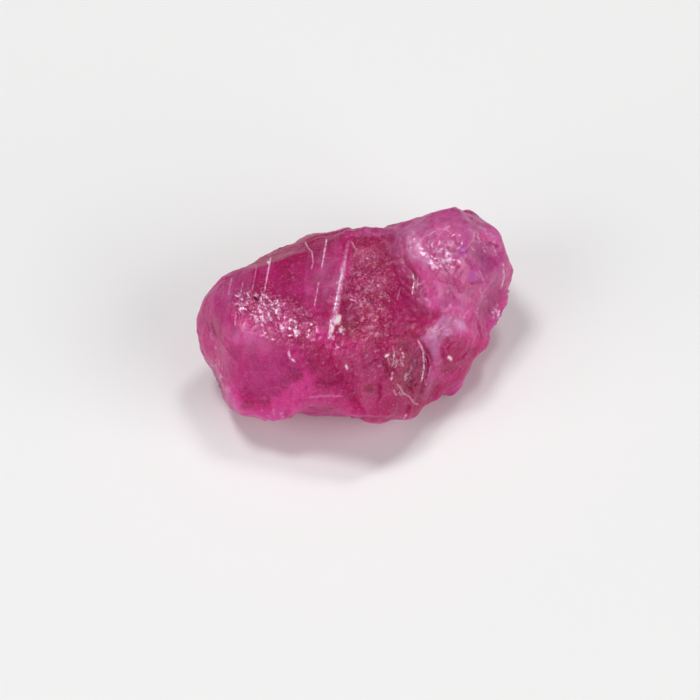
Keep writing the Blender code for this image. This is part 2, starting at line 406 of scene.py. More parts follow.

# The stone's coloured areas: strength, then corners, or centre and sizes, of each patch.
# Lighter pink, a painted glow of light through the front and the lower rims.
GLOW_PINK_PATCHES = [
    (0.5, (232, 362), 50, 56, -10, 0.7, 8),
    (0.9, [(232, 386), (247, 409), (270, 401), (286, 389), (305, 370), (325, 372), (300, 398),
           (300, 412), (262, 426), (234, 418), (212, 392)], 3, 3),
    (0.5, [(410, 262), (428, 271), (447, 284), (470, 300), (482, 320), (470, 336), (455, 326),
           (446, 313), (434, 309), (426, 294), (418, 280)], 3, 3),
    (0.9, [(423, 308), (432, 298), (435, 310)], 1, 1),
    (0.7, [(420, 291), (427, 285), (430, 296)], 1, 1),
    (0.6, [(290, 384), (345, 386), (352, 416), (294, 416)], 5, 4),
    (0.3, [(468, 340), (488, 335), (480, 368), (462, 384), (434, 396), (428, 386), (455, 376)], 3, 3),
]
DEEP_PATCHES = [
    (1.0, [(354, 237), (404, 234), (409, 260), (420, 279), (426, 294), (424, 303), (433, 309),
           (445, 314), (432, 324), (430, 333), (420, 340), (408, 346), (380, 344), (346, 340),
           (338, 328), (346, 290)], 2, 2.5),
    (0.9, [(300, 346), (346, 341), (410, 345), (414, 372), (400, 396), (350, 397), (322, 392),
           (308, 372)], 6, 6),
    (0.9, [(446, 337), (456, 333), (466, 338), (469, 352), (463, 366), (452, 375), (441, 369),
           (440, 356), (444, 346)], 1.5, 1.5),
    (0.8, (410, 402), 40, 16, -10, 0.7, 8),
    (0.7, (268, 282), 54, 24, -28, 0.7, 8),
    (0.6, [(300, 294), (328, 300), (330, 318), (306, 312), (284, 300)], 3, 3),
    (0.7, (391, 351), 3.5, 6, 0, 0.5, 1),
    (0.8, [(468, 345), (484, 348), (478, 368), (462, 384), (430, 402), (424, 390), (455, 376)], 4, 3),
    (0.45, [(243, 389), (262, 391), (272, 402), (263, 410), (248, 405), (240, 396)], 3, 3),
    (0.8, [(272, 250), (306, 236), (334, 231), (331, 256), (300, 262), (276, 268)], 4, 4),
    (0.4, [(330, 400), (350, 396), (392, 396), (400, 418), (350, 422), (316, 416)], 4, 4),
]
# Darker plum: on the knob's right side a painted shade, elsewhere the stone's tone.
PLUM_AND_SHADE_PATCHES = [
    (0.4, [(228, 346), (300, 346), (304, 364), (284, 388), (262, 399), (246, 392), (232, 372)], 10, 6),
    (1.0, [(458, 232), (471, 232), (469, 244), (460, 243)], 2, 1.5),
    (0.5, [(494, 226), (502, 236), (506, 262), (499, 262), (494, 244)], 3, 2),
    (1.0, [(476, 242), (500, 246), (505, 262), (497, 290), (481, 288), (477, 264)], 4, 4),
    (0.8, [(488, 296), (503, 292), (498, 322), (486, 318)], 4, 4),
    (0.5, (470, 220), 26, 10, 20, 0.7, 5),
    (0.5, (225, 300), 18, 30, 30, 0.8, 6),
    (0.45, (470, 256), 22, 20, 0, 0.8, 6),
]
WARM_PATCHES = [
    (0.6, (373, 304), 15, 30, 5, 0.8, 8),
    (0.8, (350, 329), 14, 11, 0, 0.8, 5),
    (0.4, (372, 256), 20, 16, 0, 0.8, 8),
    (0.4, (414, 246), 8, 12, 0, 0.7, 4),
]
# Lavender, a painted sheen where faces mirror the light, with some milky haze.
SHEEN_AND_HAZE_PATCHES = [
    (1.0, [(421, 338), (432, 330), (440, 321), (452, 313), (463, 320), (468, 331), (450, 333),
           (443, 338), (438, 350), (441, 362), (435, 368), (428, 352)], 2, 2.5),
    (0.6, [(404, 240), (415, 228), (424, 240), (432, 262), (424, 268), (410, 258)], 3, 3),
    (0.5, (446, 236), 40, 26, 10, 0.7, 8),
    (0.3, [(352, 229), (404, 226), (406, 236), (380, 235), (356, 238)], 2, 2),
    (0.35, (462, 290), 36, 34, 10, 0.7, 10),
    (0.32, (325, 274), 16, 26, 10, 0.8, 6),
    (0.5, (258, 340), 24, 12, 20, 0.8, 7),
    (0.3, (225, 288), 18, 26, 30, 0.8, 7),
    (0.5, [(420, 396), (426, 386), (430, 366), (434, 372), (430, 392), (423, 402)], 2, 1.5),
    (0.4, (406, 247), 14, 12, 0, 0.7, 5),
    (0.4, (422, 230), 14, 9, 0, 0.7, 4),
    (0.25, (468, 220), 40, 14, 25, 0.7, 6),
    (0.2, (503, 258), 10, 30, 0, 0.7, 5),
    (0.2, (438, 290), 16, 20, -20, 0.8, 6),
    (0.2, (238, 334), 14, 12, 20, 0.8, 5),
    (0.12, [(210, 366), (216, 364), (226, 388), (238, 408), (262, 416), (286, 410), (288, 418),
           (262, 424), (232, 416), (216, 394)], 2, 1.5),
    (0.2, [(222, 384), (232, 390), (240, 402), (244, 412), (230, 409), (218, 396)], 3, 3),
]
PURE_PATCHES = [
    (0.5, (268, 282), 54, 24, -28, 0.7, 8),
    (1.0, [(290, 396), (335, 396), (335, 416), (296, 414)], 4, 3),
    (1.0, [(452, 350), (490, 335), (484, 372), (440, 406), (428, 400), (455, 376)], 4, 3),
    (1.0, [(350, 400), (410, 398), (414, 420), (350, 420)], 4, 3),
    (0.8, [(196, 338), (214, 334), (230, 372), (214, 384)], 4, 3),
    (0.8, [(212, 372), (226, 384), (250, 410), (280, 408), (276, 424), (236, 420), (214, 396)], 4, 3),
]
# Silver patches, painted glints on the knob's facets and below it.
PAINTED_GLINT_PATCHES = [
    (0.9, [(447, 249), (453, 254), (452, 263), (444, 260)], 1.2, 1),
    (0.8, [(431, 262), (438, 262), (439, 269), (432, 269)], 1.2, 1.5),
    (0.7, [(448, 240), (453, 241), (452, 246), (447, 246)], 1.2, 1),
    (0.6, [(438, 250), (444, 248), (441, 254)], 1.2, 1),
    (0.32, [(406, 240), (413, 231), (419, 240), (421, 250), (429, 256), (437, 263), (427, 264),
           (417, 258), (410, 257)], 1.5, 2.5),
    (0.35, [(426, 330), (434, 326), (440, 330), (436, 338), (429, 340)], 1.5, 2),
    (0.2, [(452, 318), (464, 322), (467, 330), (456, 330)], 1.5, 2),
]
VIOLET_PATCHES = [
    (0.9, [(469, 271), (474, 270), (477, 280), (473, 284), (469, 280)], 1.5, 1),
    (0.7, [(457, 244), (468, 244), (467, 254), (460, 256)], 1.5, 1),
]

# Ellipses of the frame: centre, half width, half height, turn in degrees, softness and raggedness.
TOP_FLAT = ((278, 280), 75, 36, -28)
FRONT_FLAT = ((262, 378), 66, 34, 5)
GLINTS = ((275, 317), 42, 20, 25)
KNOB = ((465, 275), 52, 62)
SPARKLE = ((446, 254), 20, 17, 20)
CRACKED = ((407, 370), 19, 34, -8, 0.6, 8)
BEAD = ((338, 320), 3, 4.5, 10, 0.5)
RUST_SPECK = ((369, 389), 5.5, 3.2, 0, 0.4)
KNOB_CORNER = ((452, 245), 30, 26, 0, 0.5)
LOW_LEFT = ((236, 404), 15, 13, 30, 0.7)
PITTED_PATCHES = [
    (0.7, (370, 290), 27, 50, 5, 0.6, 8),
    (0.3, (392, 355), 44, 32, 0, 0.6, 8),
]

# Places to wear, in this order: the rounds of wear, the share of each, and the ellipse.
# A place without rounds is swollen instead, by the share in millimetres.
WORN_PLACES = [
    (260, 1.0, (218, 345), 60, 85, 0, 0.35),
    (0, 0.12, (226, 330), 26, 30, 0, 0.9),
    (120, 1.0, (222, 335), 40, 60, 0, 0.5),
    (60, 0.8, (300, 330), 40, 26, 15, 0.4),
    (45, 0.8, (465, 280), 60, 75, 0, 0.4),
    (40, 0.8, (370, 385), 40, 34, 0, 0.4),
    (120, 1.0, (318, 375), 30, 34, 0, 0.5),
    (60, 0.9, (414, 266), 18, 34, -20, 0.4),
    (0, 0.12, (226, 392), 16, 16, 0, 0.9),
]

# Facets: pixel, depth and reach in millimetres, and the lean to the right and up of the surface
# there, or else the compass direction and the height that the facet faces.
CHIPS = [
    ((445, 250), 0.05, 0.30, (0.0, 0.0), (0, 78)),
    ((436, 259), 0.04, 0.22, (0.0, 0.0), (8, 76)),
    ((453, 264), 0.04, 0.24, (0.0, 0.0), (-8, 79)),
    ((427, 297), 0.08, 0.70, (0.05, 0.0), None),
    ((457, 350), 0.07, 0.45, (0.15, -0.10), None),
    ((480, 352), 0.06, 0.50, (0.05, -0.10), None),
    ((392, 300), 0.05, 0.75, (0.0, 0.0), None),
    ((345, 392), 0.08, 0.70, (-0.05, -0.05), None),
    ((385, 405), 0.08, 0.60, (0.0, -0.10), None),
    ((430, 395), 0.08, 0.60, (0.10, -0.05), None),
    ((222, 385), 0.06, 0.50, (-0.10, -0.05), None),
    ((243, 405), 0.06, 0.55, (-0.05, -0.15), None),
    ((497, 300), 0.07, 0.60, (0.10, 0.0), None),
    ((500, 258), 0.06, 0.55, (0.10, 0.05), None),
    ((470, 300), 0.06, 0.60, (0.0, -0.05), None),
    ((420, 240), 0.05, 0.50, (-0.05, 0.05), None),
]

# Small moves that bring the outline to the photograph's: pixel, radius and push in millimetres.
LEFT_END = ((199, 338), 2.4, 0.34)
NUDGES = [
    ((199, 338), 1.0, -0.03),
    ((222, 272), 1.0, 0.10),
    ((270, 254), 1.2, 0.10),
    ((306, 237), 1.2, 0.14),
    ((366, 225), 0.8, -0.14),
    ((388, 227), 0.9, 0.05),
    ((491, 222), 1.0, -0.10),
    ((513, 300), 1.0, 0.03),
    ((478, 363), 0.9, -0.11),
    ((450, 396), 0.8, 0.16),
    ((468, 209), 0.5, -0.10),
    ((455, 208), 0.6, 0.03),
    ((220, 396), 0.7, -0.20),
    ((330, 230), 0.8, -0.06),
    ((416, 418), 0.7, -0.15),
    ((198, 342), 0.8, 0.05),
    ((512, 270), 0.35, 0.10),
    ((502, 238), 0.6, -0.06),
    ((221, 374), 0.5, 0.08),
    ((494, 322), 0.5, 0.07),
    ((232, 406), 1.1, 0.16),
    ((252, 417), 0.9, 0.12),
    ((426, 413), 0.9, -0.24),
    ((300, 415), 1.1, -0.20),
    ((335, 415), 0.8, -0.14),
    ((486, 342), 0.9, 0.15),
    ((458, 389), 0.7, 0.10),
]

# Where the foot is drawn in under the stone: centre, half width, half height and millimetres.
TUCKS = [
    ((232, 404), 18, 18, 0.30),
    ((421, 409), 20, 16, 0.42),
]


# -------------------- carving tools

LINE_WIDTH = 0.04  # millimetres from a growth line's middle to its rim, on the sides behind
LINE_DEPTH = 0.25  # millimetres from a growth line's plane at which the stone is another face
RIM_FACING = 0.45  # a point that faces the camera less than this may lie on the outline
FOOT_BAND = (0.25, 0.7)  # millimetres of height over which the foot goes over into the body
STEP = 0.02  # the highest step in millimetres that a facet leaves at its rim
FACET_STEP = 0.3  # the same for a facet that faces a set way


def flake_scars(surface, count, lean, cup, seed, nearest=6):
    """Heights of overlapping shallow flake scars: the lowest of the tilted cups about each point."""
    chance = np.random.default_rng(seed)
    picks = chance.choice(len(surface.points), count, replace=False)
    centres = surface.points[picks]
    leans = chance.normal(0.0, lean, (count, 3))
    cups = cup * chance.uniform(0.4, 1.6, count)
    tree = kdtree.KDTree(count)
    for index, centre in enumerate(centres):
        tree.insert(centre, index)
    tree.balance()
    found = np.array(
        [[hit[1] for hit in tree.find_n(point, nearest)] for point in surface.points]
    )
    best = np.full(len(surface.points), np.inf)
    for column in range(nearest):
        pick = found[:, column]
        offset = surface.points - centres[pick]
        height = (offset * leans[pick]).sum(1) + cups[pick] * (offset**2).sum(1)
        best = np.minimum(best, height)
    return best - best.mean()


def far_side_lines(surface, gap, near, places, count, lengths, tilt, seed):
    """Adds growth lines behind the stone, level but for a tilt of up to the given degrees."""
    chance = np.random.default_rng(seed)
    for index in chance.choice(np.flatnonzero(places), count, replace=False):
        normal = surface.normals[index]
        level = np.cross((0.0, 0.0, 1.0), normal)
        level /= max(np.linalg.norm(level), 1e-6)
        turn = math.radians(chance.uniform(-tilt, tilt))
        run = level * math.cos(turn) + np.cross(normal, level) * math.sin(turn)
        side = np.cross(normal, run)
        offset = surface.points - surface.points[index]
        along, across = np.abs(offset @ run), offset @ side
        depth = np.abs(offset @ normal)
        half = 0.5 * chance.uniform(*lengths)
        fade = 1 - smoothstep(0.7 * half, half, along)
        reach = 1 - smoothstep(2.0 * LINE_WIDTH, 3.4 * LINE_WIDTH, np.abs(across))
        strength = chance.uniform(0.4, 0.9) * fade * reach * (depth < LINE_DEPTH)
        stronger = strength > near
        gap = np.where(stronger, across / LINE_WIDTH, gap)
        near = np.where(stronger, strength, near)
    return gap, near


def nudge(surface, pixel, radius, push):
    """Moves the outline near a picture place outwards, or inwards for a negative push."""
    gap = np.hypot(surface.across - pixel[0], surface.down - pixel[1])
    rim = np.where(np.abs(surface.facing) < RIM_FACING, gap, np.inf)
    centre = int(np.argmin(rim))
    offset = np.linalg.norm(surface.points - surface.points[centre], axis=1)
    share = 1 - smoothstep(0.0, radius, offset)
    way = (surface.normals * share[:, None]).sum(0)
    way -= np.array(BACK) * (way @ np.array(BACK))
    way /= np.linalg.norm(way)
    surface.move(way * (push * share)[:, None])
    surface.update()


def cut_flat(surface, centre, normal, depth, reach, highest_step=STEP):
    """Cuts a flat facet below a point, square to the normal, as deep as the step at its reach allows."""
    offset = surface.points - centre
    away = np.linalg.norm(offset, axis=1)
    height = offset @ normal
    beyond = height[(away > 0.9 * reach) & (away < 1.5 * reach)].max()
    depth = min(depth, highest_step - beyond)
    share = 1 - smoothstep(reach, 1.5 * reach, away)
    surface.move(-normal * (np.maximum(height + depth, 0) * share)[:, None])


def chip(surface, pixel, depth, reach, lean=(0.0, 0.0), facing=None):
    """Cuts a facet at a picture place: leaning right and up of the surface there, or facing a set way."""
    gap = np.hypot(surface.across - pixel[0], surface.down - pixel[1])
    gap = np.where(surface.facing > 0, gap, np.inf)
    centre = surface.points[int(np.argmin(gap))].copy()
    close = np.linalg.norm(surface.points - centre, axis=1) < 0.6 * reach
    normal = surface.normals[close].mean(0)
    normal /= np.linalg.norm(normal)
    normal = normal + lean[0] * np.array(RIGHT) + lean[1] * np.array(UP)
    if facing:
        normal = np.array(direction(*facing))
    normal /= np.linalg.norm(normal)
    cut_flat(surface, centre, normal, depth, reach, FACET_STEP if facing else STEP)
    surface.update()


def chip_at_random(surface, count, depths, reaches, lean, seed, keep_off):
    """Cuts flat facets all over the stone, but for where the keep_off mask is high."""
    chance = np.random.default_rng(seed)
    allowed = np.flatnonzero((keep_off < 0.5) & (surface.lift > 0.99))
    for index in chance.choice(allowed, count, replace=False):
        centre = surface.points[index].copy()
        normal = surface.normals[index] + chance.normal(0.0, lean, 3)
        normal /= np.linalg.norm(normal)
        reach = chance.uniform(*reaches)
        cut_flat(surface, centre, normal, chance.uniform(*depths), reach)
    surface.update()


def tuck_in(surface, centre, wide, tall, distance):
    """Draws the stone's foot in under it, level with the floor, about a picture place."""
    inward = -surface.points * (1.0, 1.0, 0.0)
    inward /= np.maximum(np.linalg.norm(inward, axis=1), 1e-9)[:, None]
    foot = 1 - smoothstep(*FOOT_BAND, surface.points[:, 2])
    steps = distance * foot * blob(surface, centre, wide, tall, 0, 0.8)
    surface.move(inward * steps[:, None])
    surface.update()


# -------------------- carving steps

def wear_edges(surface):
    """Rounds the solid's edges, most of all on the left, and swells two places there."""
    surface.wear(np.ones(len(surface.points)), 6)
    nudge(surface, *LEFT_END)
    for rounds, share, *place in WORN_PLACES:
        amount = share * blob(surface, *place)
        if rounds:
            surface.wear(amount, rounds)
        else:
            surface.push(amount)
    gap, _, _ = to_lines(surface, TOP_LEFT_RIM)
    surface.wear(1 - smoothstep(6, 14, gap), 200)


def break_edges(surface, quiet):
    """Chips the stone all over and at the listed places, and wears the knob's broken corner."""
    depths, reaches = (0.03, 0.10), (0.4, 1.0)
    chip_at_random(surface, 200, depths, reaches, lean=0.08, seed=31, keep_off=quiet)
    for pixel, depth, reach, lean, facing in CHIPS:
        chip(surface, pixel, depth, reach, lean, facing)
    surface.wear(0.8 * blob(surface, *KNOB_CORNER), 10)


def shape_foot(surface):
    """Fills the body out low on the left and draws the foot in under it."""
    body = smoothstep(*FOOT_BAND, surface.points[:, 2])
    surface.push(0.17 * body * blob(surface, *LOW_LEFT))
    for centre, wide, tall, distance in TUCKS:
        tuck_in(surface, centre, wide, tall, distance)


def broken_areas(surface, seen):
    """Masks of the places where the stone's surface is broken up."""
    return {
        "glints": blob(surface, *GLINTS) * seen,
        "pitted": painted(surface, PITTED_PATCHES) * seen,
        "knob": blob(surface, *KNOB) * seen,
        "sparkle": blob(surface, *SPARKLE) * seen,
        "cracked": blob(surface, *CRACKED) * seen,
    }


def cut_scars(surface, areas, top_flat, quiet, seen, patchy):
    """Cuts flake scars of three sizes and a fine ripple, deeper where the stone is rough."""
    listed = [
        areas["glints"],
        areas["sparkle"],
        0.3 * areas["pitted"],
        0.2 * areas["knob"],
        0.6 * areas["cracked"],
        patchy * (0.25 + 0.5 * (1 - seen)),
    ]
    rough = np.clip(np.maximum.reduce(listed), 0, 1)
    unbroken = 1 - areas["glints"]
    surface.push(flake_scars(surface, 420, 0.06, 0.06, 3) * (1 - 0.9 * quiet))
    scars = flake_scars(surface, 2600, 0.15, 0.14, 5)
    surface.push(scars * (0.15 + 0.75 * rough) * (1 - 0.75 * quiet * unbroken))
    scars = flake_scars(surface, 16000, 0.28, 0.2, 9)
    surface.push(scars * (0.08 + 0.85 * rough) * (1 - 0.8 * top_flat * unbroken))
    surface.push(0.012 * ripple(surface, 0.35, 4, 1) * (1 - 0.6 * top_flat))


def raise_ridge(surface, seen):
    """Lifts the long ridge, sinks the groove beside it and returns the ridge's mask."""
    gap, signed, along = to_lines(surface, RIDGE)
    fade = smoothstep(0.0, 0.08, along) * (1 - smoothstep(0.96, 1.0, along))
    thick = 1.8 + 1.2 * smoothstep(0.15, 0.35, along) * (1 - smoothstep(0.8, 1.0, along))
    crest = np.exp(-((gap / thick) ** 2)) * fade * seen
    surface.push(0.07 * crest)
    groove = -0.03 * np.exp(-(((signed + 5) / 3) ** 2))
    surface.push(groove * (gap < 12) * fade * seen)
    return crest


def open_split(surface, seen):
    """Opens the split on the lower right and raises the lip on one side of it."""
    gap, signed, along = to_lines(surface, SPLIT)
    fade = smoothstep(0.0, 0.15, along) * (1 - smoothstep(0.85, 1.0, along)) * seen
    surface.push(-0.09 * np.exp(-((gap / 2.0) ** 2)) * fade)
    lip = 0.05 * np.exp(-((np.maximum(-signed, 0) / 7) ** 2))
    surface.push(lip * (signed < 0) * (gap < 25) * fade)


def add_bead(surface, seen, crest):
    """Raises the cream bead on the ridge and returns the pale ridge with it, partly a painted highlight.
    """
    bead = blob(surface, *BEAD) * seen
    surface.push(0.06 * bead)
    _, _, along = to_lines(surface, RIDGE)
    return np.clip(crest * (0.4 + 0.5 * smoothstep(0.1, 0.35, along)) + bead, 0, 1)


def colour_masks(surface, seen, hidden):
    """Masks of the coloured areas. Those on the hidden side come from noise and height. The lighter pink
    areas are a painted glow, the lavender ones a painted sheen with some milkiness, the darker purple
    ones partly painted shade and the cream bead marks painted highlights.
    """
    height = surface.points[:, 2]
    low = 1 - smoothstep(0.3, 2.4, height + 0.6 * ripple(surface, 1.3, 3, 4))
    # On the hidden side, noise spreads the same painted lavender sheen.
    sheen_veil = smoothstep(0.0, 0.7, ripple(surface, 1.8, 4, 8)) * smoothstep(0.3, 1.2, height)
    sheen_and_haze = np.clip(painted(surface, SHEEN_AND_HAZE_PATCHES) * seen + 0.8 * sheen_veil * hidden, 0, 1)
    deep = painted(surface, DEEP_PATCHES) * seen
    milky = 1 - 0.85 * np.maximum(deep, painted(surface, PURE_PATCHES) * seen)
    return {
        # The pink mask is a painted glow: the patches, and lighter pink towards the bottom on the hidden
        # side.
        "pink": np.maximum(painted(surface, GLOW_PINK_PATCHES) * seen, 0.8 * low * (1 - 0.7 * seen)),
        "deep": deep,
        "milky": milky,
        "sheen_veil": sheen_and_haze + 0.12 * milky,
        "sheen_and_haze": sheen_and_haze,
        "plum_and_shade": painted(surface, PLUM_AND_SHADE_PATCHES) * seen,
        "warm": painted(surface, WARM_PATCHES) * seen,
        "violet": painted(surface, VIOLET_PATCHES) * seen,
        "rust": blob(surface, *RUST_SPECK) * seen,
        "specks": spots(surface, SPECKS) * seen,
        "highlight_beads": np.clip(spots(surface, HIGHLIGHT_BEADS) * seen, 0, 1),
    }


def gloss_masks(surface, areas, crest, seen, patchy, hidden):
    """Masks of the glossy places, with some on the hidden side, and of the painted glints."""
    glints, pitted, cracked = areas["glints"], areas["pitted"], areas["cracked"]
    painted_glint = painted(surface, PAINTED_GLINT_PATCHES) * seen
    gloss = glints + 0.2 * pitted + 0.4 * areas["knob"] + areas["sparkle"]
    gloss = np.clip(gloss + 0.15 * cracked + crest + painted_glint, 0, 1)
    return {
        "painted_glint": painted_glint,
        "glints": glints,
        "pitted": np.maximum(pitted, 0.4 * patchy * hidden),
        "cracked": cracked,
        "crest": crest,
        "gloss": np.maximum(gloss, 0.6 * patchy * hidden),
    }


def line_masks(surface, seen, patchy):
    """The masks of the thin lines: those in the picture, then long growth lines and short painted glints
    behind.
    """
    scattered = [
        (corners, width, strength) for strokes, width, strength in SCATTERED for corners in strokes
    ]
    gap, near = thin_lines(surface, STRIATIONS + SCRATCHES + scattered)
    near = near * seen
    behind = (surface.facing < -0.15) & (surface.lift > 0.99)
    gap, near = far_side_lines(
        surface, gap, near, behind, count=16, lengths=(0.8, 2.4), tilt=8, seed=41
    )
    glinting = behind & (patchy > 0.5)
    gap, near = far_side_lines(
        surface, gap, near, glinting, count=70, lengths=(0.12, 0.30), tilt=90, seed=42
    )
    return {"gap": gap, "near": near}


def carve(surface):
    """Cuts the relief into the stone and returns the masks that the material uses."""
    wear_edges(surface)
    seen = smoothstep(0.0, 0.25, surface.facing)
    for pixel, radius, push in NUDGES:
        nudge(surface, pixel, radius, push)
    top_flat = blob(surface, *TOP_FLAT) * seen
    front_flat = blob(surface, *FRONT_FLAT) * seen
    quiet = np.clip(top_flat + 0.85 * front_flat, 0, 1)
    break_edges(surface, quiet)
    shape_foot(surface)
    areas = broken_areas(surface, seen)
    patchy = smoothstep(0.0, 0.45, ripple(surface, 1.6, 3, 12))
    cut_scars(surface, areas, top_flat, quiet, seen, patchy)
    crest = raise_ridge(surface, seen)
    open_split(surface, seen)
    crest = add_bead(surface, seen, crest)
    hidden = 1 - smoothstep(-0.4, 0.0, surface.facing)
    return {
        **line_masks(surface, seen, patchy),
        **colour_masks(surface, seen, hidden),
        **gloss_masks(surface, areas, crest, seen, patchy, hidden),
    }


# -------------------- materials

# Besides the stone's own colours, the lighter pink draws a painted glow, the lavender a painted sheen,
# the plum partly a painted shade, and the pale, silver and cream partly painted glints and highlights.
PINK_RED = (0.70, 0.016, 0.26, 1)
DEEP_RED = (0.42, 0.004, 0.10, 1)
LIGHT_PINK = (0.88, 0.055, 0.38, 1)
PLUM_AND_SHADE = (0.44, 0.025, 0.22, 1)
RUST = (0.30, 0.003, 0.01, 1)
LAVENDER_SHEEN_AND_MILK = (0.72, 0.24, 0.52, 1)
VIOLET = (0.47, 0.035, 0.42, 1)
OLIVE_RED = (0.30, 0.015, 0.05, 1)
SALMON = (0.66, 0.16, 0.24, 1)
PALE_FLECK_AND_GLINT = (0.95, 0.42, 0.62, 1)
SILVER_SCRATCH_AND_GLINT = (0.97, 0.68, 0.90, 1)
CREAM_HIGHLIGHT = (1.0, 0.88, 0.86, 1)
DARK = (0.05, 0.005, 0.015, 1)

RUBY_IOR = 1.77
SEE_THROUGH = 0.4  # the share of the light that goes through the surface
ABSORPTION_COLOUR = (0.93, 0.30, 0.55, 1.0)
ABSORPTION_DENSITY = 300.0  # to the metre
GRAIN_HEADING = math.radians(57)  # the compass direction in which the ridge and the striations run
GRAIN_STRETCH = 9.0
BUMP_STRENGTH, BUMP_DISTANCE = 0.35, 0.00006
FLOOR_COLOUR = (0.84, 0.835, 0.83, 1.0)


def new_material(name):
    material = bpy.data.materials.new(name)
    material.use_nodes = True
    material.node_tree.nodes.clear()
    return material, material.node_tree


class Graph:
    """Short names for the shader nodes that the stone uses."""

    def __init__(self, tree):
        self.tree = tree
        coordinates = self.add("ShaderNodeTexCoord")
        self.place = self.vector("SCALE", coordinates.outputs["Object"], scale=1 / MM)

    def add(self, kind, **settings):
        node = self.tree.nodes.new(kind)
        for name, value in settings.items():
            setattr(node, name, value)
        return node

    def feed(self, socket, value):
        if isinstance(value, bpy.types.NodeSocket):
            self.tree.links.new(value, socket)
        else:
            socket.default_value = value

    def math(self, kind, first, second=0.0, clamp=False):
        node = self.add("ShaderNodeMath", operation=kind, use_clamp=clamp)
        self.feed(node.inputs[0], first)
        self.feed(node.inputs[1], second)
        return node.outputs[0]

    def times(self, first, second, clamp=False):
        return self.math("MULTIPLY", first, second, clamp)

    def vector(self, kind, first, second=(0, 0, 0), scale=1.0):
        node = self.add("ShaderNodeVectorMath", operation=kind)
        self.feed(node.inputs[0], first)
        if kind == "SCALE":
            self.feed(node.inputs["Scale"], scale)
        else:
            self.feed(node.inputs[1], second)
        return node.outputs["Value" if kind in ("DOT_PRODUCT", "LENGTH") else "Vector"]

    def ramp(self, value, low, high, start=0.0, end=1.0):
        """Goes smoothly from start to end as the value goes from low to high."""
        node = self.add("ShaderNodeMapRange", interpolation_type="SMOOTHSTEP")
        limits = {"From Min": low, "From Max": high, "To Min": start, "To Max": end}
        for name, number in limits.items():
            self.feed(node.inputs[name], number)
        self.feed(node.inputs["Value"], value)
        return node.outputs["Result"]

    def along_grain(self, stretch):
        """The place, squeezed along the striations so that a noise there is drawn out into streaks."""
        along = Vector((math.cos(GRAIN_HEADING), math.sin(GRAIN_HEADING), 0.0))
        shared = self.vector("DOT_PRODUCT", self.place, along)
        pull = self.vector("SCALE", along * (1 / stretch - 1), scale=shared)
        return self.vector("ADD", self.place, pull)

    def mask(self, name):
        return self.add("ShaderNodeAttribute", attribute_name=name).outputs["Fac"]

    def noise(self, scale, detail=4.0, roughness=0.55, warp=0.0, place=None):
        node = self.add("ShaderNodeTexNoise")
        self.feed(node.inputs["Vector"], place or self.place)
        self.feed(node.inputs["Scale"], scale)
        self.feed(node.inputs["Detail"], detail)
        self.feed(node.inputs["Roughness"], roughness)
        self.feed(node.inputs["Distortion"], warp)
        return node.outputs["Fac"]

    def cells(self, scale, warp):
        """A value from 0 to 1 that jumps between patches with ragged, angular rims."""
        wander = self.add("ShaderNodeTexNoise")
        self.feed(wander.inputs["Vector"], self.place)
        self.feed(wander.inputs["Scale"], 2.0 * scale)
        shift = self.vector("SCALE", wander.outputs["Color"], scale=warp)
        node = self.add("ShaderNodeTexVoronoi")
        self.feed(node.inputs["Vector"], self.vector("ADD", self.place, shift))
        self.feed(node.inputs["Scale"], scale)
        return node.outputs["Color"]

    def blend(self, factor, first, second):
        node = self.add("ShaderNodeMix", data_type="RGBA")
        self.feed(node.inputs[0], factor)
        self.feed(node.inputs[6], first)
        self.feed(node.inputs[7], second)
        return node.outputs[2]


def add_absorption(graph, out):
    """Takes light away inside the stone, the green most of all."""
    volume = graph.add("ShaderNodeVolumeAbsorption")
    volume.inputs["Color"].default_value = ABSORPTION_COLOUR
    volume.inputs["Density"].default_value = ABSORPTION_DENSITY
    graph.feed(out.inputs["Volume"], volume.outputs[0])


def body_colour(graph):
    """The stone's reds and pinks: patches, a painted glow of lighter pink, stains, streaks with painted
    lavender sheen, cells and milk. Also the streaks.
    """
    patches = graph.ramp(graph.noise(1.4, 8, 0.75, 0.4), 0.40, 0.62, 0.0, 0.9)
    colour = graph.blend(patches, PINK_RED, DEEP_RED)
    # Lighter pink where the pink mask is high, a painted glow of light through the stone.
    colour = graph.blend(graph.mask("pink"), colour, LIGHT_PINK)
    stain = graph.times(graph.mask("deep"), graph.ramp(graph.noise(2.2, 4), 0.25, 0.6, 0.45, 1.0))
    colour = graph.blend(stain, colour, DEEP_RED)
    streaky = graph.noise(5.0, 4, 0.6, 0.3, graph.along_grain(GRAIN_STRETCH))
    # Lavender streaks where the mask holds the painted sheen and a little milk.
    sheen_veils = graph.times(graph.ramp(streaky, 0.45, 0.65), graph.mask("sheen_veil"))
    colour = graph.blend(sheen_veils, colour, LAVENDER_SHEEN_AND_MILK)
    colour = graph.blend(graph.ramp(streaky, 0.5, 0.3, 0.0, 0.5), colour, DEEP_RED)
    cell = graph.cells(2.0, 0.35)
    milky = graph.mask("milky")
    light_cells = graph.times(graph.ramp(cell, 0.55, 0.85, 0.0, 0.4), milky)
    colour = graph.blend(light_cells, colour, LIGHT_PINK)
    colour = graph.blend(graph.ramp(cell, 0.42, 0.15, 0.0, 0.5), colour, DEEP_RED)
    milk = graph.times(graph.ramp(graph.noise(3.3, 8, 0.8, 0.8), 0.48, 0.7, 0.0, 0.5), milky)
    return graph.blend(milk, colour, LAVENDER_SHEEN_AND_MILK), streaky


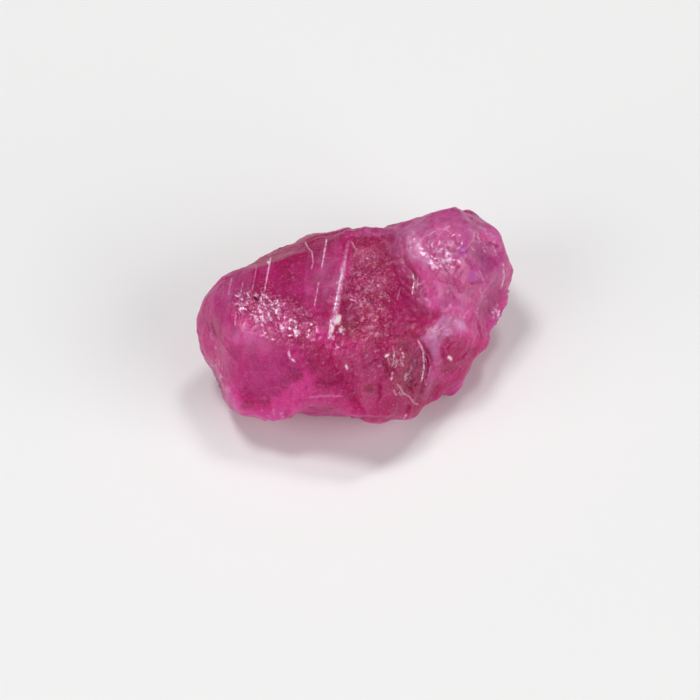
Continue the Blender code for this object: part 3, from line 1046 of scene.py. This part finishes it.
def clouded(graph, colour):
    """Adds the darker purple areas, partly painted shade, the lavender painted sheen with some milkiness,
    and the warm and olive areas. Also returns the sheen mask.
    """
    colour = graph.blend(graph.times(graph.mask("plum_and_shade"), 0.75), colour, PLUM_AND_SHADE)
    cloudy = graph.ramp(graph.noise(2.6, 5, 0.65, 0.5), 0.3, 0.62, 0.3, 1.0)
    sheen_and_haze = graph.times(graph.mask("sheen_and_haze"), cloudy)
    colour = graph.blend(sheen_and_haze, colour, LAVENDER_SHEEN_AND_MILK)
    warm = graph.times(graph.mask("warm"), graph.ramp(graph.noise(2.9, 5, 0.7, 0.5), 0.38, 0.62))
    colour = graph.blend(warm, colour, SALMON)
    cracked = graph.mask("cracked")
    olive = graph.times(cracked, graph.ramp(graph.noise(3.0, 4), 0.35, 0.6, 0.35, 0.9))
    return graph.blend(olive, colour, OLIVE_RED), sheen_and_haze


def broken_up(graph, colour):
    """Adds pale flecks, curls and frost, most where the surface is broken; the flecks, the silver curls
    and the pale frost are partly painted glints. Also their masks.
    """
    flecks = graph.ramp(graph.noise(8.0, 2, 0.6, 0.4), 0.60, 0.70)
    glints = graph.mask("glints")
    busy = graph.math("MAXIMUM", glints, graph.times(graph.mask("pitted"), 0.6))
    busy = graph.math("ADD", busy, 0.25, clamp=True)
    flecks = graph.times(flecks, graph.ramp(graph.noise(2.0, 2), 0.4, 0.6, 0.15, 1.0))
    flecks = graph.times(flecks, graph.ramp(busy, 0.25, 0.9, 0.2, 0.5))
    colour = graph.blend(flecks, colour, PALE_FLECK_AND_GLINT)
    curl = graph.math("ABSOLUTE", graph.math("SUBTRACT", graph.noise(4.5, 1, 0.5, 0.8), 0.5))
    thin = graph.ramp(curl, 0.0, 0.03, 1.0, 0.0)
    curls = graph.times(thin, graph.ramp(graph.noise(5.0, 1), 0.5, 0.62))
    curls = graph.times(curls, graph.ramp(busy, 0.3, 1.0, 0.10, 0.4))
    colour = graph.blend(curls, colour, SILVER_SCRATCH_AND_GLINT)
    frost = graph.noise(12.0, 3, 0.65, 0.3)
    frosty = graph.ramp(busy, 0.25, 0.8, 0.18, 1.0)
    dark_frost = graph.times(graph.ramp(frost, 0.47, 0.33, 0.0, 0.55), frosty)
    colour = graph.blend(dark_frost, colour, DEEP_RED)
    pale_frost = graph.times(graph.ramp(frost, 0.53, 0.68, 0.0, 0.7), frosty)
    return graph.blend(pale_frost, colour, PALE_FLECK_AND_GLINT), flecks, curls, busy


def marked(graph, colour):
    """Adds lines, ridge, painted glints, painted highlight dots, violet, rust and specks; the silver
    lines and the pale ridge are partly painted highlights.

    Also returns the lines' mask and that of everything pale and solid.
    """
    lines = graph.ramp(graph.math("ABSOLUTE", graph.mask("gap")), 0.3, 1.0, 1.0, 0.0)
    lines = graph.times(lines, graph.mask("near"))
    lines = graph.times(lines, graph.ramp(graph.noise(11.0, 2), 0.40, 0.56, 0.15, 1.0), clamp=True)
    crest = graph.mask("crest")
    crest = graph.times(crest, graph.ramp(graph.noise(9.0, 3), 0.40, 0.6, 0.1, 0.8))
    painted_glint = graph.mask("painted_glint")
    painted_glint = graph.times(painted_glint, graph.ramp(graph.noise(7.0, 2), 0.4, 0.55, 0.2, 1.0))
    pale = graph.math("MAXIMUM", graph.times(lines, 0.95), crest)
    pale = graph.math("MAXIMUM", pale, painted_glint)
    colour = graph.blend(pale, colour, SILVER_SCRATCH_AND_GLINT)
    colour = graph.blend(graph.mask("highlight_beads"), colour, CREAM_HIGHLIGHT)
    pale = graph.math("MAXIMUM", pale, graph.mask("highlight_beads"))
    colour = graph.blend(graph.times(graph.mask("violet"), 0.8), colour, VIOLET)
    colour = graph.blend(graph.mask("rust"), colour, RUST)
    return graph.blend(graph.mask("specks"), colour, DARK), lines, pale


def relief(graph, busy, streaky, curls, flecks, lines):
    """A fine bump from grain, grit, streaks, curls, flecks and lines."""
    grain = graph.times(graph.noise(7.0, 4, 0.6), 0.6)
    grit = graph.times(graph.noise(18.0, 2), busy)
    height = graph.math("ADD", grain, grit)
    height = graph.math("ADD", height, graph.times(streaky, 0.5))
    height = graph.math("ADD", height, graph.math("ADD", curls, flecks))
    height = graph.math("ADD", height, graph.times(lines, 1.2))
    bump = graph.add("ShaderNodeBump")
    bump.inputs["Strength"].default_value = BUMP_STRENGTH
    bump.inputs["Distance"].default_value = BUMP_DISTANCE
    graph.feed(bump.inputs["Height"], height)
    return bump.outputs["Normal"]


def ruby_material():
    material, tree = new_material("ruby")
    graph = Graph(tree)
    shader = graph.add("ShaderNodeBsdfPrincipled")
    out = graph.add("ShaderNodeOutputMaterial")
    graph.feed(out.inputs["Surface"], shader.outputs[0])
    add_absorption(graph, out)

    colour, streaky = body_colour(graph)
    colour, sheen_and_haze = clouded(graph, colour)
    colour, flecks, curls, busy = broken_up(graph, colour)
    colour, lines, pale = marked(graph, colour)
    graph.feed(shader.inputs["Base Color"], colour)

    roughness = graph.ramp(graph.noise(4.0, 4), 0.3, 0.7, 0.28, 0.40)
    roughness = graph.math("ADD", roughness, graph.times(sheen_and_haze, 0.15))
    graph.feed(shader.inputs["Roughness"], roughness)
    normal = relief(graph, busy, streaky, curls, flecks, lines)
    graph.feed(shader.inputs["Normal"], normal)

    shader.inputs["IOR"].default_value = RUBY_IOR
    shader.inputs["Specular IOR Level"].default_value = 0.12
    shader.inputs["Specular Tint"].default_value = (1.0, 0.40, 0.75, 1.0)
    coat = graph.ramp(graph.mask("gloss"), 0.0, 1.0, 0.03, 0.9)
    graph.feed(shader.inputs["Coat Weight"], graph.math("MAXIMUM", coat, pale))
    shader.inputs["Coat Roughness"].default_value = 0.08
    clear = graph.math("SUBTRACT", 1.0, graph.times(pale, 0.9))
    graph.feed(shader.inputs["Transmission Weight"], graph.times(clear, SEE_THROUGH))
    graph.feed(shader.inputs["Subsurface Weight"], clear)
    shader.inputs["Subsurface Radius"].default_value = (1.0, 0.5, 0.6)
    shader.inputs["Subsurface Scale"].default_value = 0.002
    return material


def floor_material():
    material, tree = new_material("floor")
    shader = tree.nodes.new("ShaderNodeBsdfPrincipled")
    out = tree.nodes.new("ShaderNodeOutputMaterial")
    tree.links.new(shader.outputs[0], out.inputs["Surface"])
    shader.inputs["Base Color"].default_value = FLOOR_COLOUR
    shader.inputs["Roughness"].default_value = 0.7
    return material


# -------------------- stage and light

FLOOR_RADIUS = 1.2
FLOOR_DROP = 0.00001  # metres between the stone's flat base and the floor
LIGHT_DISTANCE = 260  # millimetres from the aim
WORLD_COLOUR, WORLD_STRENGTH = (0.90, 0.91, 0.93, 1.0), 0.14

# Name, compass direction and height in degrees, size in millimetres, and power in watts.
LIGHTS = [
    ("key", 220, 72, 60, 0.25),
    ("sparkle", 123, 68, 45, 0.14),
    ("fill", -85, 28, 200, 0.27),
    ("front", 32, 22, 260, 0.54),
]


def make_floor():
    bpy.ops.mesh.primitive_circle_add(vertices=96, radius=FLOOR_RADIUS, fill_type="NGON")
    floor = bpy.context.object
    floor.name = "floor"
    floor.location.z = -FLOOR_DROP
    floor.data.materials.append(floor_material())


def area_light(name, azimuth, elevation, size, power):
    """A square light that looks at the stone from a compass direction."""
    data = bpy.data.lights.new(name, "AREA")
    data.size = size * MM
    data.energy = power
    light = bpy.data.objects.new(name, data)
    bpy.context.scene.collection.objects.link(light)
    back = Vector(direction(azimuth, elevation))
    light.location = (AIM + back * LIGHT_DISTANCE) * MM
    light.rotation_euler = back.to_track_quat("Z", "Y").to_euler()
    light.visible_camera = False


def make_lights():
    for listed in LIGHTS:
        area_light(*listed)
    world = bpy.data.worlds.new("world")
    bpy.context.scene.world = world
    world.use_nodes = True
    background = world.node_tree.nodes["Background"]
    background.inputs["Color"].default_value = WORLD_COLOUR
    background.inputs["Strength"].default_value = WORLD_STRENGTH


def put(piece, surface, masks):
    """Writes the carved points and the masks back to the mesh, in metres."""
    mesh = piece.data
    mesh.vertices.foreach_set("co", (surface.points * MM).astype(np.float32).ravel())
    for name, values in masks.items():
        layer = mesh.attributes.new(name, "FLOAT", "POINT")
        layer.data.foreach_set("value", values.astype(np.float32))
    mesh.shade_smooth()
    mesh.update()


make_camera()
make_floor()
make_lights()
ruby = fine_copy(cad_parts["ruby_crystal"])
surface = Surface(ruby.data)
masks = carve(surface)
put(ruby, surface, masks)
ruby.data.materials.append(ruby_material())
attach(ruby, "root")
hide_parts("ruby_crystal")
bpy.context.scene.view_settings.view_transform = "Standard"
